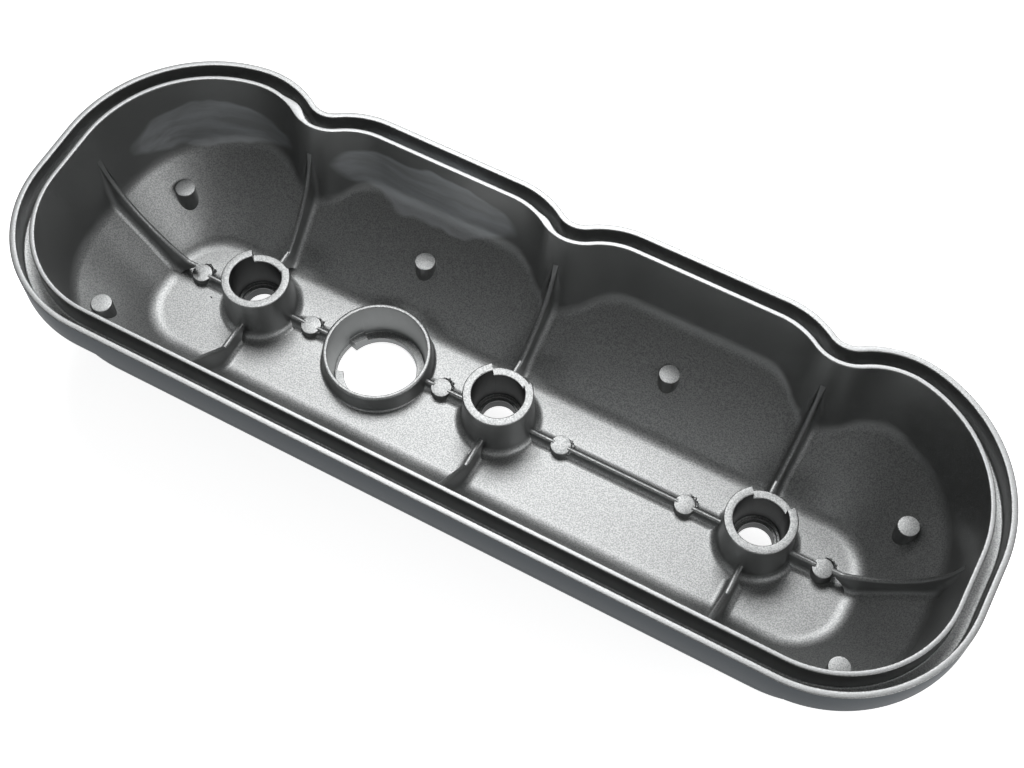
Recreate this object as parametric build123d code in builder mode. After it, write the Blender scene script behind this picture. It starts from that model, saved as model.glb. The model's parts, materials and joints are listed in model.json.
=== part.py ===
"""Engine valve cover: one aluminium casting, lying with its open side up.

The row of three bolt towers runs along X on the line y = bolt_line_y. The gasket
rim is the highest face, and the mouth of the oil filler neck, on the outside of
the cover, is the lowest. Sizes are in millimetres.
"""

import os
from math import acos, atan, atan2, degrees, radians, sin, tan

from build123d import *

# Overall heights, measured up from the mouth of the filler neck
neck_height = 8.5  # the neck stands this far out of the crown
wall = 4.0
cover_height = 73.5  # crown to rim
crown_z = neck_height
floor_z = crown_z + wall
rim_z = crown_z + cover_height

# Bolts
bolt_pitch = 120.0
bolt_x = [-bolt_pitch, 0.0, bolt_pitch]

# Plan of the gasket groove's inner edge at the rim, from the bolt line
near_side = -66.7
far_side = 63.65
bolt_line_y = -(near_side + far_side) / 2  # puts the middle of the rim on the X axis
half_length = 201.3
near_radius = 49.2
far_radius = 58.9
scallop_depth = 8.6
scallop_root_radius = 17.8
scallop_mouth_radius = 33.0
scallop_shift = 1.8  # the scallops stand a little off the bolts

# Gasket rim: an inner lip, a groove and an outer lip
inner_lip = 2.1
groove_width = 5.4
outer_lip = 2.7
groove_depth = 12.3
flange_depth = 15.6
flange_root = 3.0

# Walls lean in towards the floor, by different amounts on each side
near_lean = 2.8
far_lean = 3.6
end_lean = 9.4
scallop_lean = 4.3  # the scallops go deeper towards the floor
outside_lean = 3.2  # outside, both long walls lean alike
end_room = 4.5  # the ends' own draft starts this far clear of the long walls

# Crown: a flat floor and a shoulder that slopes up to the walls
floor_end = 165.0
floor_near = -35.5
floor_far = 22.5
floor_corner = 23.0
shoulder_slope = 44.0
wall_blend = 12.0
floor_blend = 11.0
lowest_crease = 18.0  # above the floor
highest_crease = 42.0

# Bolt towers
tower_height = 23.1
tower_radius = 15.0
tower_draft = 2.0
tower_root = 4.0
bore_radius = 11.26
bore_floor_radius = 10.2
bore_depth = 20.0
seat_radius = 8.9
seat_depth = 1.0
bolt_hole_radius = 7.6
bolt_hole_edge = 0.8
key_width = 14.0
key_depth = 4.0  # from the tower's top
key_face = 7.6  # from the bolt's axis

# Oil filler neck
filler_x = -60.0
collar_height = 9.0
collar_radius = 23.8
collar_draft = 6.0
collar_root = 2.0
filler_bore_radius = 21.8
ledge_bore = 19.9
ledge_thickness = 3.7
ledge_opening = 16.2
neck_radius = 23.5
neck_draft = 4.0
notch_radius = 19.5
notch_start = 162.0
notch_turn = 46.0
stop_start = 140.0
stop_height = 2.2

# Ribs
rib_width = 2.4
rib_foot = 4.0  # how far a rib's flat foot reaches below its own low end
spine_height = 3.8
spine_foot = 7.0  # the flanks flare out to this width on the floor
spine_flare = 1.0  # the flare's height
spine_end = 158.0
right_spine_height = 7.0  # beyond the last tower
cross_rib_low = (24.0, 11.0)  # from the bolt line, above the floor
cross_rib_middle = (38.5, 26.5)
cross_rib_top = (50.5, 58.5)
cross_rib_skew = [0.0, -2.2, -2.2]  # how far along X a rib's low end is from its top
end_rib_low = (157.0, 9.2)
end_rib_middle = (176.5, 29.2)
end_rib_top = (191.3, 62.0)
near_rib_flat = (29.0, 8.0)
near_rib_knee = (55.0, 34.0)
near_rib_top = (64.0, 62.0)
rib_sink = 12.0  # how far a rib's plate reaches into the shell before it is cut back

# Ejector pads
pad_radius = 4.55
right_pad = 149.7
# Each entry is a height above the floor and the places of the pads that reach it
spine_pads = [(3.5, [(-151.4, 0), (-94.2, 0), (-28.2, 0), (30.0, 0), (88.0, 0)]), (6.0, [(right_pad, 0)])]
field_pads = [(23.5, [(-173.0, 25.0), (-59.0, 42.0), (59.0, 42.0), (173.0, 25.0), (-171.6, -42.0),
                      (171.6, -42.0)])]


def level(height):
    """Plane parallel to the rim at a height, centred on the bolt line."""
    return Plane(origin=(0, bolt_line_y, height))


def corner_to_scallop(gap, far_drop):
    """Headings at which a far corner's arc runs into a scallop's mouth arc, and that into its root arc.

    The mouth arc touches both other arcs, so the three centres make a triangle of known sides.
    """
    root_centre = Vector(-gap, far_drop)
    to_mouth = far_radius - scallop_mouth_radius
    mouth_to_root = scallop_root_radius + scallop_mouth_radius
    cosine = (to_mouth**2 + root_centre.length**2 - mouth_to_root**2) / (2 * to_mouth * root_centre.length)
    leave_corner = degrees(atan2(root_centre.Y, root_centre.X)) - degrees(acos(cosine))
    mouth_centre = Vector(to_mouth, 0).rotate(Axis.Z, leave_corner)
    across = root_centre - mouth_centre
    return leave_corner, degrees(atan2(across.Y, across.X))


def outline(near, far, end, depth, grow):
    """Plan with a straight near side and ends, and three scallops in the far side, grown all round."""
    corner_x = end - far_radius
    root_drop = far_radius - depth + scallop_root_radius
    turn = degrees(acos(1 - depth / (scallop_root_radius + scallop_mouth_radius)))
    mouth_half = (scallop_root_radius + scallop_mouth_radius) * sin(radians(turn))
    right_leave, right_enter = corner_to_scallop(corner_x - bolt_pitch - scallop_shift, root_drop)
    left_leave, left_enter = corner_to_scallop(corner_x - bolt_pitch + scallop_shift, root_drop)
    with BuildSketch() as plan:
        with BuildLine():
            run = Line((near_radius - end, near), (end - near_radius, near))
            run = JernArc(run @ 1, run % 1, near_radius, 90)
            run = Line(run @ 1, (end, far - far_radius))
            run = JernArc(run @ 1, run % 1, far_radius, right_leave)
            run = JernArc(run @ 1, run % 1, scallop_mouth_radius, right_enter - right_leave)
            run = JernArc(run @ 1, run % 1, scallop_root_radius, 90 - right_enter - turn)
            run = JernArc(run @ 1, run % 1, scallop_mouth_radius, turn)
            run = Line(run @ 1, (scallop_shift + mouth_half, far))
            run = JernArc(run @ 1, run % 1, scallop_mouth_radius, turn)
            run = JernArc(run @ 1, run % 1, scallop_root_radius, -2 * turn)
            run = JernArc(run @ 1, run % 1, scallop_mouth_radius, turn)
            run = Line(run @ 1, (scallop_shift - bolt_pitch + mouth_half, far))
            run = JernArc(run @ 1, run % 1, scallop_mouth_radius, turn)
            run = JernArc(run @ 1, run % 1, scallop_root_radius, 90 - left_enter - turn)
            run = JernArc(run @ 1, run % 1, scallop_mouth_radius, left_enter - left_leave)
            run = JernArc(run @ 1, run % 1, far_radius, left_leave)
            run = Line(run @ 1, (-end, near + near_radius))
            JernArc(run @ 1, run % 1, near_radius, 90)
        make_face()
        if grow != 0:
            offset(amount=grow)
    return plan.sketch


def rim_plan(grow):
    """Outline at the rim, grown from the groove's inner edge."""
    return outline(near_side, far_side, half_length, scallop_depth, grow)


def floor_plan(grow):
    """Outline of the walls carried down to the floor, where they lean in."""
    return outline(near_side + near_lean, far_side - far_lean, half_length - end_lean,
                   scallop_depth + scallop_lean, grow)


def crown_plan(grow):
    """Flat crown inside the foot of the sloping shoulder, on a skin that lies `grow` outside the cavity's."""
    along_shoulder = grow * tan(radians(shoulder_slope / 2))
    with BuildSketch() as plan:
        with Locations((0, (floor_near + floor_far) / 2)):
            RectangleRounded(2 * (floor_end + along_shoulder), floor_far - floor_near + 2 * along_shoulder,
                             floor_corner + along_shoulder)
    return plan.sketch


with BuildPart() as cavity:
    # Space inside the cover: leaning walls, cut by the sloping shoulder
    with BuildSketch(level(floor_z)):
        add(floor_plan(-inner_lip))
    with BuildSketch(level(rim_z)):
        add(rim_plan(-inner_lip))
    loft(ruled=True)
    with BuildSketch(level(floor_z)):
        add(crown_plan(0))
    extrude(amount=cover_height, taper=shoulder_slope - 90, mode=Mode.INTERSECT)
    crease = cavity.edges().filter_by_position(Axis.Z, floor_z + lowest_crease, floor_z + highest_crease)
    fillet(crease, wall_blend)
    fillet(cavity.faces().sort_by(Axis.Z)[0].edges(), floor_blend)

with BuildPart() as body:
    # The cover's outside below the flange: long walls and ends with drafts of their own, and the shoulder
    skin = wall - inner_lip
    with BuildSketch(level(rim_z)):
        add(rim_plan(skin))
    extrude(amount=-cover_height, taper=degrees(atan(outside_lean / cover_height)))
    with BuildSketch(level(rim_z)) as ends:
        with Locations((0, (near_side + far_side) / 2)):
            Rectangle(2 * (half_length + skin), far_side - near_side + 2 * (skin + end_room))
        fillet(ends.vertices().group_by(Axis.Y)[0], near_radius + skin)
        fillet(ends.vertices().group_by(Axis.Y)[-1], far_radius + skin)
    extrude(amount=-cover_height, taper=degrees(atan(end_lean / cover_height)), mode=Mode.INTERSECT)
    with BuildSketch(level(crown_z)):
        add(crown_plan(wall))
    extrude(amount=cover_height, taper=shoulder_slope - 90, mode=Mode.INTERSECT)
    fillet(body.faces().sort_by(Axis.Z)[0].edges(), floor_blend + wall)


def upright(x, out):
    """Upright plane on the bolt line at x: its own x runs along `out`, its y up from the floor."""
    return Plane(origin=(x, bolt_line_y, floor_z), x_dir=out, z_dir=Vector(out).cross(Vector(0, 0, 1)))


def climbing_rib(plane, start, low, middle, top):
    """Plate with a curved ridge that climbs the shoulder and runs out high on the wall."""
    root = low[1] - rib_sink
    with BuildPart() as rib:
        with BuildSketch(plane):
            with BuildLine():
                ridge = ThreePointArc(low, middle, top)
                Polyline(ridge @ 1, (top[0], root), (start, root), (start, low[1]), low)
            make_face()
        extrude(amount=rib_width / 2, both=True)
    return rib.part


inside_tower = tower_radius - rib_width


def near_rib(x):
    """Plate that leaves a tower level, then climbs the near shoulder."""
    with BuildPart() as rib:
        with BuildSketch(upright(x, (0, -1, 0))):
            with BuildLine():
                Polyline((inside_tower, -rib_foot), (inside_tower, near_rib_flat[1]), near_rib_flat,
                         near_rib_knee, near_rib_top, (near_rib_top[0], -rib_foot), close=True)
            make_face()
        extrude(amount=rib_width / 2, both=True)
    return rib.part


def boss(radius, height, draft, root):
    """Round boss on the floor, whose drafted side spreads in two steps to a foot wider by `root`."""
    lean = tan(radians(draft))
    side = radius + (height - root) * lean
    with BuildPart() as solid:
        with BuildSketch(upright(0, (1, 0, 0))):
            with BuildLine():
                Polyline((0, height), (radius, height), (side, root), (side + root / 4, root / 4),
                         (side + root, 0), (side + root, -wall / 2), (0, -wall / 2), close=True)
            make_face()
        revolve(axis=Axis((0, bolt_line_y, 0), (0, 0, 1)))
    return solid.part


with BuildPart() as ribs:
    # Low spine along the bolt line, flared at its foot
    half_foot = spine_foot / 2
    half_ridge = rib_width / 2
    with BuildSketch(Plane(origin=(-spine_end, bolt_line_y, floor_z), x_dir=(0, 1, 0), z_dir=(1, 0, 0))):
        with BuildLine():
            Polyline((0, -spine_flare), (half_foot, -spine_flare), (half_foot, 0),
                     (half_ridge + spine_flare / 2, spine_flare),
                     (half_ridge, spine_height), (0, spine_height))
            mirror(about=Plane.YZ)
        make_face()
    extrude(amount=2 * spine_end)
    with BuildSketch(Plane(origin=(bolt_x[-1], bolt_line_y, floor_z), x_dir=(0, 1, 0), z_dir=(1, 0, 0))):
        with Locations((0, right_spine_height / 2)):
            Rectangle(rib_width, right_spine_height)
    extrude(amount=spine_end - bolt_x[-1])
    # Plates from the towers to both long walls, and from the outer pads to the ends
    reach = cross_rib_top[0] - cross_rib_low[0]
    for x, skew in zip(bolt_x, cross_rib_skew):
        foot = upright(x + skew * cross_rib_top[0] / reach, (-skew, reach, 0))
        add(climbing_rib(foot, inside_tower, cross_rib_low, cross_rib_middle, cross_rib_top))
        add(near_rib(x))
    for side in (-1, 1):
        add(climbing_rib(upright(0, (side, 0, 0)), right_pad, end_rib_low, end_rib_middle, end_rib_top))
    # Nothing stands on the pads
    for top, places in spine_pads:
        with BuildSketch(level(floor_z + top)):
            with Locations(places):
                Circle(pad_radius)
        extrude(amount=tower_height, mode=Mode.SUBTRACT)
    add(body.part, mode=Mode.INTERSECT)

with BuildPart() as pads:
    for top, places in spine_pads + field_pads:
        with BuildSketch(level(floor_z + top)):
            with Locations(places):
                Circle(pad_radius)
        extrude(amount=-top - wall / 2)
    add(body.part, mode=Mode.INTERSECT)

with BuildPart() as tower_bore:
    # Stepped bore for a bolt and its seal, cut from the top of a tower through the crown
    bore_floor = tower_height - bore_depth
    seat = bore_floor - seat_depth
    with BuildSketch(upright(0, (1, 0, 0))):
        with BuildLine():
            Polyline((0, tower_height), (bore_radius, tower_height), (bore_floor_radius, bore_floor),
                     (seat_radius, bore_floor), (seat_radius, seat), (bolt_hole_radius, seat),
                     (bolt_hole_radius, bolt_hole_edge - wall), (bolt_hole_radius + bolt_hole_edge, -wall),
                     (0, -wall), close=True)
        make_face()
    revolve(axis=Axis((0, bolt_line_y, 0), (0, 0, 1)))
    # A shallow key stands out of the bore's far side, at the top
    with BuildSketch(level(floor_z + tower_height - key_depth)):
        with Locations((0, key_face + bore_radius)):
            Rectangle(key_width, 2 * bore_radius)
    extrude(amount=key_depth, mode=Mode.SUBTRACT)

with BuildPart() as filler_bore:
    # Bore of the neck, down to a ledge that the cap's tongue hooks under
    ledge = ledge_thickness - crown_z - wall
    with BuildSketch(upright(filler_x, (1, 0, 0))):
        with BuildLine():
            Polyline((0, collar_height), (filler_bore_radius, collar_height), (ledge_bore, ledge),
                     (ledge_opening, ledge), (ledge_opening, -floor_z), (0, -floor_z), close=True)
        make_face()
    revolve(axis=Axis((filler_x, bolt_line_y, 0), (0, 0, 1)))
    # Notch that lets the tongue through, and the stop beside it
    with BuildSketch(level(0)):
        with Locations((filler_x, 0)):
            with BuildLine():
                arc = CenterArc((0, 0), notch_radius, notch_start, notch_turn)
                Polyline(arc @ 1, (0, 0), arc @ 0)
            make_face()
    extrude(amount=ledge_thickness)
    with BuildSketch(level(ledge_thickness)):
        with Locations((filler_x, 0)):
            with BuildLine():
                outer = CenterArc((0, 0), filler_bore_radius, stop_start, notch_start - stop_start)
                inner = CenterArc((0, 0), ledge_opening, stop_start, notch_start - stop_start)
                Line(outer @ 0, inner @ 0)
                Line(outer @ 1, inner @ 1)
            make_face()
    extrude(amount=stop_height, mode=Mode.SUBTRACT)

with BuildPart() as valve_cover:
    # Shell and the flange round its rim
    add(body.part)
    with BuildSketch(level(rim_z)):
        add(rim_plan(groove_width + outer_lip))
    extrude(amount=-flange_depth)
    with BuildSketch(level(rim_z - flange_depth)):
        add(rim_plan(skin + flange_root / 2))
    extrude(amount=-flange_root, taper=45)
    with BuildSketch(level(rim_z)):
        add(rim_plan(groove_width))
        add(rim_plan(0), mode=Mode.SUBTRACT)
    extrude(amount=-groove_depth, mode=Mode.SUBTRACT)

    # Filler neck, outside the crown
    with BuildSketch(level(0)):
        with Locations((filler_x, 0)):
            Circle(neck_radius)
    extrude(amount=neck_height + wall / 2, taper=-neck_draft)
    add(cavity.part, mode=Mode.SUBTRACT)

    # Bolt towers, the filler collar, ribs and pads
    with Locations([(x, 0, 0) for x in bolt_x]):
        add(boss(tower_radius, tower_height, tower_draft, tower_root))
    with Locations((filler_x, 0, 0)):
        add(boss(collar_radius, collar_height, collar_draft, collar_root))
    add(ribs.part)
    add(pads.part)

    # Bores, through the towers and the neck
    with Locations([(x, 0, 0) for x in bolt_x]):
        add(tower_bore.part, mode=Mode.SUBTRACT)
    add(filler_bore.part, mode=Mode.SUBTRACT)

valve_cover.part.label = "valve_cover"
os.makedirs("parts", exist_ok=True)
export_step(valve_cover.part, "parts/valve_cover.step")
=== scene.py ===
"""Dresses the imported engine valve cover: one aluminium casting lying with its open side up."""

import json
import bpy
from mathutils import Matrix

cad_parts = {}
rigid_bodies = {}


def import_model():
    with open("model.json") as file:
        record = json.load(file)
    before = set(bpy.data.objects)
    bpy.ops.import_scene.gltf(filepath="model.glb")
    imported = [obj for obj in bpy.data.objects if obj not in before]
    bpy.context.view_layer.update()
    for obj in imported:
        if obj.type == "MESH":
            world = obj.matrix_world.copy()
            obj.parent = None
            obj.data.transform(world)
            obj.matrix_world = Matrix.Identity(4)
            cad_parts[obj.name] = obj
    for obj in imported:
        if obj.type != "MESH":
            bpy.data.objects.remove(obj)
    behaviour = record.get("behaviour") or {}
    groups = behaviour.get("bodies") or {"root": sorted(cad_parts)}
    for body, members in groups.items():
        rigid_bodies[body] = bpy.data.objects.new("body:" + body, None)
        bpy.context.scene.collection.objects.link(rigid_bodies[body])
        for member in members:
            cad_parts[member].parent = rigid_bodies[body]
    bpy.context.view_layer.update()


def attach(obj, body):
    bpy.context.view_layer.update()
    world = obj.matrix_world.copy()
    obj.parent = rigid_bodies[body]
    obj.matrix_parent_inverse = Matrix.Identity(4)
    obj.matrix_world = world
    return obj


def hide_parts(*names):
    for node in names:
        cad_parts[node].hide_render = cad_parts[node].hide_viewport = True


bl_info = {
    "name": "Engine Valve Cover",
    "version": (1, 0, 0),
    "blender": (4, 5, 0),
    "location": "3D View > Sidebar > Valve Cover",
    "description": "Builds a cast valve cover: grooved gasket rim, bolt towers, ribs and an oil filler neck",
    "category": "Mesh",
}

import bmesh
import bpy
import numpy as np
from bpy.props import FloatProperty, FloatVectorProperty, PointerProperty, StringProperty
from bpy.types import Operator, Panel, PropertyGroup
from mathutils import Matrix, Vector

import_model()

MM = 0.001
# The shell's holes lie this far inside the towers and the collar, whose walls close them
CUT_INSIDE_TOWER = 2 * MM
CUT_INSIDE_COLLAR = 0.6 * MM
# The feet of the towers and of the filler neck go this far into the floor
SINK = 0.3 * MM
WELD = 0.001 * MM
# Edges that bend by more than this are shaded sharp
SHARP = np.radians(35)


# ---------------------------------------------------------------- settings


def millimetres(name, value, description):
    """A length that a user may change, held in metres."""
    return FloatProperty(name=name, default=value * MM, description=description, unit="LENGTH", precision=5)


def degrees(name, value, description):
    """An angle that a user may change, held in radians."""
    return FloatProperty(name=name, default=np.radians(value), description=description, subtype="ANGLE")


class CoverRim(PropertyGroup):
    """Outline and section of the gasket rim."""

    near_side: millimetres("Near side", 66.7, "Groove's inner edge on the straight side, from the bolt line")
    far_side: millimetres("Far side", 63.65, "Groove's inner edge between the scallops, from the bolt line")
    half_length: millimetres("Half length", 201.3, "Groove's inner edge at the ends, from the middle bolt")
    near_radius: millimetres("Near corner radius", 49.2, "Corner on the straight side")
    far_radius: millimetres("Far corner radius", 58.9, "Corner on the scalloped side")
    scallop_depth: millimetres("Scallop depth", 8.6, "How far a scallop comes in at the rim")
    scallop_root: millimetres("Scallop root radius", 17.8, "Bottom of a scallop")
    scallop_mouth: millimetres("Scallop mouth radius", 33.0, "Shoulder of a scallop")
    scallop_shift: millimetres("Scallop shift", 1.8, "The scallops stand a little off the bolts")
    inner_lip: millimetres("Inner lip", 2.1, "Width of the lip inside the groove")
    groove_width: millimetres("Groove width", 5.4, "Width of the gasket groove")
    outer_lip: millimetres("Outer lip", 2.7, "Width of the lip outside the groove")
    groove_depth: millimetres("Groove depth", 12.3, "Depth of the gasket groove")
    flange_depth: millimetres("Flange depth", 15.6, "Height of the flange's outer face")
    lip_round: millimetres("Lip rounding", 0.45, "Rounding of the lips' edges")
    flange_root: millimetres("Flange root", 3.0, "Rounding under the flange")


class CoverShell(PropertyGroup):
    """Walls, shoulder and crown."""

    height: millimetres("Height", 82.0, "Rim above the filler neck's mouth")
    crown: millimetres("Crown", 8.5, "Outside of the crown above the neck's mouth")
    wall: millimetres("Wall", 4.0, "Thickness of the casting")
    side_lean: millimetres("Far lean", 3.6, "How far the scalloped wall leans in over its height")
    near_lean: millimetres("Near lean", 2.8, "How far the straight wall leans in over its height")
    end_lean: millimetres("End lean", 9.4, "How far the ends lean in over their height")
    scallop_lean: millimetres("Scallop lean", 4.3, "How much deeper the scallops are at the floor")
    floor_end: millimetres("Floor end", 165.0, "End of the flat floor, from the middle bolt")
    floor_near: millimetres("Floor near", 35.5, "Near edge of the flat floor, from the bolt line")
    floor_far: millimetres("Floor far", 22.5, "Far edge of the flat floor, from the bolt line")
    floor_corner: millimetres("Floor corner", 23.0, "Corner radius of the flat floor")
    shoulder: degrees("Shoulder slope", 44.0, "Slope from the floor up to the walls")
    wall_blend: millimetres("Wall blend", 12.0, "Rounding between shoulder and wall")
    floor_blend: millimetres("Floor blend", 11.0, "Rounding between floor and shoulder")


class CoverBosses(PropertyGroup):
    """Bolt towers, filler neck and ejector pads."""

    pitch: millimetres("Bolt pitch", 120.0, "Distance from bolt to bolt")
    tower_height: millimetres("Tower height", 23.1, "Top of a bolt tower above the floor")
    tower_radius: millimetres("Tower radius", 15.0, "Outside of a tower at its top")
    bore_radius: millimetres("Bore radius", 11.26, "Bore at the tower's top")
    bore_floor: millimetres("Bore floor radius", 10.2, "Bore at its floor")
    seat_radius: millimetres("Seat radius", 8.9, "Recess in the bore's floor")
    hole_radius: millimetres("Hole radius", 7.6, "Bolt hole")
    notch_from: degrees("Notch start", 48.0, "Right end of the notch in a tower's far side")
    notch_to: degrees("Notch end", 128.0, "Left end of the notch in a tower's far side")
    notch_depth: millimetres("Notch depth", 4.6, "Floor of the notch, below the tower's top")
    root: millimetres("Tower root", 7.5, "Ring round a tower's foot, of which the arc takes just under half")
    filler_x: millimetres("Filler place", -60.0, "Filler neck, from the middle bolt")
    collar_height: millimetres("Collar height", 9.0, "Collar above the floor")
    collar_radius: millimetres("Collar radius", 23.8, "Outside of the collar at its top")
    collar_bore: millimetres("Collar bore", 21.8, "Bore at the collar's top")
    ledge_bore: millimetres("Ledge bore", 19.9, "Bore where it meets the ledge")
    ledge_opening: millimetres("Ledge opening", 16.2, "Opening through the ledge")
    ledge_thickness: millimetres("Ledge thickness", 3.7, "Thickness of the ledge")
    neck_radius: millimetres("Neck radius", 23.5, "Outside of the neck at its mouth")
    notch_radius: millimetres("Notch radius", 19.5, "Notch for the cap's tongue")
    pad_radius: millimetres("Pad radius", 4.55, "Ejector pad")
    spine_pad: millimetres("Spine pad height", 3.5, "Pads on the spine, above the floor")
    right_pad: millimetres("Right pad height", 6.0, "Last pad on the spine, above the floor")
    field_pad: millimetres("Field pad height", 23.5, "Pads on the shoulder, above the floor")


class CoverRibs(PropertyGroup):
    """Spine and ribs."""

    width: millimetres("Rib width", 2.4, "Width of a rib at its ridge")
    root: millimetres("Rib root", 3.2, "Flare at a rib's foot")
    spine_height: millimetres("Spine height", 3.8, "Ridge of the spine above the floor")
    right_height: millimetres("Right spine height", 7.0, "Ridge of the spine beyond the last tower")
    skew: millimetres("Rib skew", 2.2, "How far a far rib's low end stands to the left of its top")
    end_drift: millimetres("End rib drift", 4.2, "How far an end rib's top stands towards the far side")


class CoverFinish(PropertyGroup):
    """Colours of the casting and its surroundings, as sRGB hex."""

    metal: StringProperty(name="Metal", default="B0B1B1", description="Die-cast aluminium")
    # Grain hollows take this colour, and the filler's bore takes it as painted shade
    shade: StringProperty(name="Grain", default="8A8C8C",
                          description="Hollows of the grain, and the filler's bore")
    # Painted shade: upright faces take this darker grey; their lower roughness is real
    wall: StringProperty(name="Walls", default="9A9B9B", description="Smoother upright faces, painted darker")
    # Painted highlight: two places on the far wall take this lighter colour
    painted_sheen: StringProperty(name="Painted sheen", default="D0D3D6",
                          description="Places on the far wall that were rubbed bright")
    # Painted shade: the towers' bores take this dark colour
    bore: StringProperty(name="Bores", default="505151", description="Skin inside the towers' bores")
    # Painted shade: the shell's outside takes this darker, bluer colour
    skin: StringProperty(name="Outside skin", default="454A4E", description="Duller skin outside the flange")
    # Painted light: level faces of the outside take this lighter colour
    skin_painted_lit: StringProperty(name="Lit skin", default="53585C", description="Level faces of that skin, painted lighter")
    # Painted highlight: the lips' flat tops take this lighter colour
    lip_highlight: StringProperty(name="Lip highlight", default="BBBDBE", description="Lips' flat tops, painted lighter")
    grain: millimetres("Grain", 0.6, "Size of the grain that the die leaves")
    backdrop: FloatVectorProperty(name="Backdrop", default=(1.0, 1.0, 1.0), subtype="COLOR",
                                  description="Floor and surroundings")


def settings():
    """The scene's property groups, in the order they are used."""
    scene = bpy.context.scene
    return scene.cover_rim, scene.cover_shell, scene.cover_bosses, scene.cover_ribs, scene.cover_finish


# ---------------------------------------------------------------- plan and sections


def corner_headings(rim, gap, drop):
    """Headings where a far corner runs into a scallop's mouth arc, and that into its root arc.

    The three arcs touch, so their centres make a triangle of known sides, solved by the cosine rule.
    """
    to_mouth = rim.far_radius - rim.scallop_mouth
    to_root = rim.scallop_root + rim.scallop_mouth
    reach = np.hypot(gap, drop)
    spread = np.arccos((to_mouth**2 + reach**2 - to_root**2) / (2 * to_mouth * reach))
    leave = np.arctan2(drop, -gap) - spread
    mouth = to_mouth * np.exp(1j * leave)
    return leave, np.angle(complex(-gap, drop) - mouth)


def outline(rim, boss, near, far, end, depth):
    """Closed plan from the bolt line, as complex points and outward normals.

    The path is a chain of straight runs and arcs, each starting on the heading the last one ends on:
    a point of an arc is its centre plus the radius turned by the heading. The number of points in each
    piece doesn't depend on the sizes, so two outlines match point by point.
    """
    corner = end - rim.far_radius
    drop = rim.far_radius - depth + rim.scallop_root
    arcs = rim.scallop_root + rim.scallop_mouth
    turn = np.arccos(1 - depth / arcs)
    half = arcs * np.sin(turn)
    right, right_in = corner_headings(rim, corner - boss.pitch - rim.scallop_shift, drop)
    left, left_in = corner_headings(rim, corner - boss.pitch + rim.scallop_shift, drop)
    square = np.pi / 2
    gap = boss.pitch - 2 * half
    mouth, root = rim.scallop_mouth, rim.scallop_root
    chain = [  # (radius or run, turn or None, points)
        (2 * (end - rim.near_radius), None, 150), (rim.near_radius, square, 56),
        (far + near - rim.near_radius - rim.far_radius, None, 12), (rim.far_radius, right, 56),
        (mouth, right_in - right, 16), (root, square - right_in - turn, 26), (mouth, turn, 16),
        (gap, None, 24), (mouth, turn, 16), (root, -2 * turn, 30), (mouth, turn, 16), (gap, None, 24),
        (mouth, turn, 16), (root, square - left_in - turn, 26), (mouth, left_in - left, 16),
        (rim.far_radius, left, 56), (far + near - rim.near_radius - rim.far_radius, None, 12),
        (rim.near_radius, square, 56),
    ]
    place, heading = complex(rim.near_radius - end, -near), 0.0
    points, normals = [], []
    for size, bend, count in chain:
        step = np.arange(count) / count
        if bend is None:
            points.append(place + step * size * np.exp(1j * heading))
            normals.append(np.full(count, -1j * np.exp(1j * heading)))
            place += size * np.exp(1j * heading)
            continue
        centre = place + np.sign(bend) * size * 1j * np.exp(1j * heading)
        out = -1j * np.exp(1j * (heading + bend * step))
        points.append(centre + np.sign(bend) * size * out)
        normals.append(out)
        heading += bend
        place = centre - np.sign(bend) * size * 1j * np.exp(1j * heading)
    return np.concatenate(points), np.concatenate(normals)


def lifted(plan, height):
    """Complex plan points at one height or at a height each, as rows of x, y, z."""
    return np.stack([plan.real, plan.imag, np.broadcast_to(height, plan.shape)], axis=-1)


def between(start, end, count, skip_last=True):
    """Rows of points that go from start to end in equal steps."""
    step = np.linspace(0, 1, count, endpoint=not skip_last)[:, None, None]
    return start + step * (end - start)


def rounded(before, corner, after, radius, count):
    """Rows of points round a corner, on the arc of that radius that touches both sides.

    With unit directions a and b from the corner and half the angle between them h, the arc's centre lies
    radius / sin h along their bisector, and the arc turns evenly from one touching point to the other. The
    arc takes at most 48% of the shorter side, so on a short side it is drawn smaller than asked for.
    """
    a = before - corner
    b = after - corner
    a_long = np.linalg.norm(a, axis=-1, keepdims=True)
    b_long = np.linalg.norm(b, axis=-1, keepdims=True)
    a, b = a / a_long, b / b_long
    half = np.arccos(np.clip((a * b).sum(-1, keepdims=True), -1, 1)) / 2
    reach = np.minimum(radius / np.tan(half), 0.48 * np.minimum(a_long, b_long))
    size = reach * np.tan(half)
    middle = (a + b) / np.linalg.norm(a + b, axis=-1, keepdims=True)
    across = (b - a) / np.linalg.norm(b - a, axis=-1, keepdims=True)
    swing = np.linspace(-1, 1, count)[:, None, None] * (np.pi / 2 - half)
    centre = corner + middle * size / np.sin(half)
    return centre - size * (middle * np.cos(swing) - across * np.sin(swing))


def plateau_distance(shell, plan, grow):
    """Distance of a plan point outside the flat floor's inner box, and the nearest point of that box."""
    inner = shell.floor_corner
    x = np.clip(plan.real, inner - shell.floor_end, shell.floor_end - inner)
    y = np.clip(plan.imag, inner - shell.floor_near, shell.floor_far - inner)
    nearest = x + 1j * y
    return np.abs(plan - nearest) - inner - grow, nearest


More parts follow.
